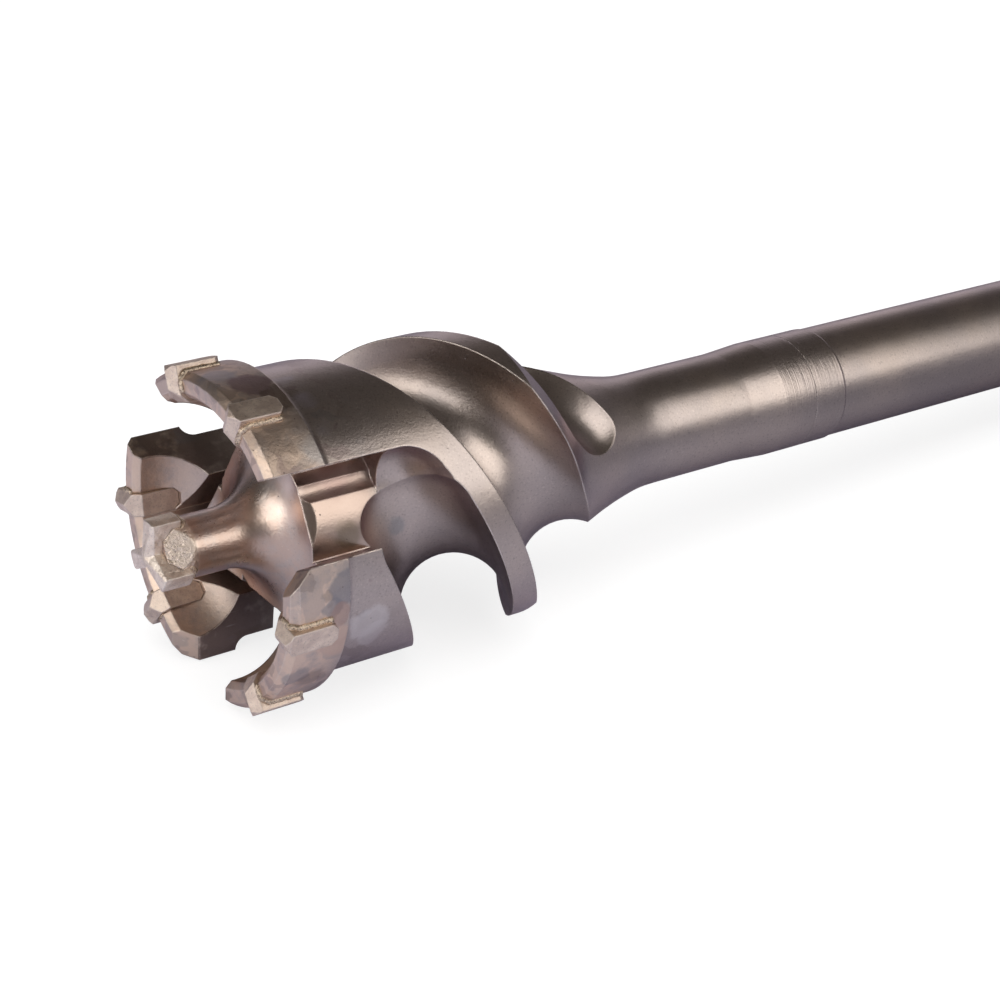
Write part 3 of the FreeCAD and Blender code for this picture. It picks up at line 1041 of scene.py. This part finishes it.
@dataclass
class Studio:
    """The camera, the lamps and the pale room round the bit."""

    axis: ToolAxis
    camera_offset: tuple[float, float, float] = (-167.068, -313.062, 198.067)
    camera_turn: tuple[float, float, float] = (61.86195, -1.58960, -35.83795)
    lens: float = 80.586
    lamps: tuple[Lamp, ...] = (
        Lamp("right_softbox", (0.378, -0.742, 0.554), 1.3, 1.20, 1.10, 7.4),
        Lamp("left_softbox", (-0.900, -0.110, 0.423), 1.3, 1.00, 0.95, 6.4),
        Lamp("ceiling", (0.0, 0.0, 1.0), 2.2, 3.0, 3.0, 56.0, seen_in_metal=False))
    lamp_target: tuple[float, float, float] = (-0.15, 0.0, 0.03)
    floor_size: float = 12.0
    floor_near_head: Colour = (0.57, 0.585, 0.70)
    floor_along_shaft: Colour = (0.20, 0.203, 0.245)
    floor_fall: tuple[float, float] = (-0.27, -0.04)
    floor_to_camera: Colour = (0.30, 0.30, 0.30)
    glow: tuple[float, float] = (0.80, 1.0)
    glow_reach: tuple[float, float] = (0.8, 3.0)
    backdrop_way: tuple[float, float, float] = (0.550, 0.786, -0.282)
    backdrop_fade: tuple[float, float] = (0.68, 0.98)
    room: tuple[tuple[float, Colour], ...] = (
        (0.0, (0.42, 0.41, 0.46)), (0.22, (0.14, 0.135, 0.145)), (0.50, (0.075, 0.068, 0.064)))

    def build(self) -> None:
        """Put up the camera, the floor, the backdrop and the lamps."""
        bpy.context.scene.view_settings.view_transform = "Standard"
        self.camera()
        self.floor()
        self.world()
        for lamp in self.lamps:
            lamp.hang(Vector(self.lamp_target))

    def camera(self) -> None:
        """Set the camera at the photograph's viewing angle."""
        data = bpy.data.cameras.new("photo_camera")
        data.sensor_width = 36.0
        data.lens = self.lens
        data.clip_start = 0.01
        data.clip_end = 50.0
        view = bpy.data.objects.new("photo_camera", data)
        turn = Euler([math.radians(angle) for angle in self.camera_turn], "XYZ")
        place = self.axis.origin + Vector(self.camera_offset) * MM
        view.matrix_world = Matrix.Translation(place) @ turn.to_matrix().to_4x4()
        bpy.context.scene.collection.objects.link(view)
        bpy.context.scene.camera = view

    def floor(self) -> None:
        """Lay the plain pale floor, white to the camera and greyer in the metal."""
        shape = bmesh.new()
        bmesh.ops.create_grid(shape, x_segments=1, y_segments=1, size=self.floor_size / 2)
        mesh = bpy.data.meshes.new("floor")
        shape.to_mesh(mesh)
        shape.free()
        floor = bpy.data.objects.new("floor", mesh)
        bpy.context.scene.collection.objects.link(floor)
        floor.data.materials.append(self.floor_finish())

    def floor_finish(self) -> bpy.types.Material:
        """Build the floor's material, whose shade falls off along the shaft.

        Returns:
            The finished material.
        """
        material = bpy.data.materials.new("floor")
        material.use_nodes = True
        nodes, links = material.node_tree.nodes, material.node_tree.links
        shader = nodes["Principled BSDF"]
        shader.inputs["Roughness"].default_value = 0.9
        shader.inputs["Specular IOR Level"].default_value = 0.0
        shader.inputs["Emission Color"].default_value = (1.0, 1.0, 1.0, 1.0)
        coords = nodes.new("ShaderNodeTexCoord")
        split = nodes.new("ShaderNodeSeparateXYZ")
        links.new(coords.outputs["Object"], split.inputs[0])
        spread = self.ramp(nodes, self.floor_fall, (0.0, 1.0))
        links.new(split.outputs["X"], spread.inputs["Value"])
        shades = self.colours(nodes, self.floor_near_head, self.floor_along_shaft)
        links.new(spread.outputs[0], shades.inputs[0])
        path = nodes.new("ShaderNodeLightPath")
        mix = self.colours(nodes, self.floor_near_head, self.floor_to_camera)
        links.new(shades.outputs[2], mix.inputs[6])
        links.new(path.outputs["Is Camera Ray"], mix.inputs[0])
        links.new(mix.outputs[2], shader.inputs["Base Color"])
        away = nodes.new("ShaderNodeVectorMath")
        away.operation = "LENGTH"
        links.new(coords.outputs["Object"], away.inputs[0])
        level = self.ramp(nodes, self.glow_reach, self.glow)
        links.new(away.outputs["Value"], level.inputs["Value"])
        glow = nodes.new("ShaderNodeMath")
        glow.operation = "MULTIPLY"
        links.new(level.outputs[0], glow.inputs[1])
        links.new(path.outputs["Is Camera Ray"], glow.inputs[0])
        links.new(glow.outputs[0], shader.inputs["Emission Strength"])
        return material

    @staticmethod
    def ramp(nodes: bpy.types.Nodes, start: tuple[float, float],
             end: tuple[float, float]) -> bpy.types.Node:
        """Add a node that carries one range of numbers over to another.

        Args:
            nodes: The material's or world's nodes.
            start: The range that comes in.
            end: The range that goes out.

        Returns:
            The node.
        """
        made = nodes.new("ShaderNodeMapRange")
        made.inputs["From Min"].default_value, made.inputs["From Max"].default_value = start
        made.inputs["To Min"].default_value, made.inputs["To Max"].default_value = end
        return made

    @staticmethod
    def colours(nodes: bpy.types.Nodes, first: Colour, second: Colour) -> bpy.types.Node:
        """Add a node that mixes two colours.

        Args:
            nodes: The material's or world's nodes.
            first: The colour at 0.
            second: The colour at 1.

        Returns:
            The node.
        """
        made = nodes.new("ShaderNodeMix")
        made.data_type = "RGBA"
        made.inputs[6].default_value = (*first, 1.0)
        made.inputs[7].default_value = (*second, 1.0)
        return made

    def world(self) -> None:
        """White behind the bit, also in the metal, and a dim room that darkens upwards."""
        world = bpy.data.worlds.new("room")
        bpy.context.scene.world = world
        world.use_nodes = True
        nodes, links = world.node_tree.nodes, world.node_tree.links
        nodes.clear()
        out = nodes.new("ShaderNodeOutputWorld")
        back = nodes.new("ShaderNodeBackground")
        path = nodes.new("ShaderNodeLightPath")
        coords = nodes.new("ShaderNodeTexCoord")
        split = nodes.new("ShaderNodeSeparateXYZ")
        shade = nodes.new("ShaderNodeValToRGB")
        links.new(coords.outputs["Generated"], split.inputs[0])
        links.new(split.outputs["Z"], shade.inputs[0])
        shade.color_ramp.interpolation = "EASE"
        low, high = shade.color_ramp.elements
        low.position, high.position = self.room[0][0], self.room[-1][0]
        shade.color_ramp.elements.new(self.room[1][0])
        for stop, (_, colour) in zip(shade.color_ramp.elements, self.room):
            stop.color = (*colour, 1.0)
        mix = self.colours(nodes, self.room[0][1], (1.0, 1.0, 1.0))
        links.new(shade.outputs[0], mix.inputs[6])
        behind = nodes.new("ShaderNodeVectorMath")
        behind.operation = "DOT_PRODUCT"
        behind.inputs[1].default_value = self.backdrop_way
        links.new(coords.outputs["Generated"], behind.inputs[0])
        across = self.ramp(nodes, self.backdrop_fade, (0.0, 1.0))
        across.interpolation_type = "SMOOTHSTEP"
        links.new(behind.outputs["Value"], across.inputs["Value"])
        seen = nodes.new("ShaderNodeMath")
        seen.operation = "MULTIPLY_ADD"
        links.new(across.outputs[0], seen.inputs[0])
        links.new(path.outputs["Is Glossy Ray"], seen.inputs[1])
        links.new(path.outputs["Is Camera Ray"], seen.inputs[2])
        links.new(seen.outputs[0], mix.inputs[0])
        links.new(mix.outputs[2], back.inputs[0])
        links.new(back.outputs[0], out.inputs[0])


def main() -> None:
    """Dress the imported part, add its braze and set up the studio."""
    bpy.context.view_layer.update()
    axis = ToolAxis.from_record(frame["record"])
    SteelAndCarbide(axis, frame["nodes"]).dress()
    braze = BrazeMetal("braze").make(axis)
    CrownBraze(axis, braze).build()
    PilotBraze(axis, braze).build()
    Studio(axis).build()


if __name__ == "__main__":
    main()
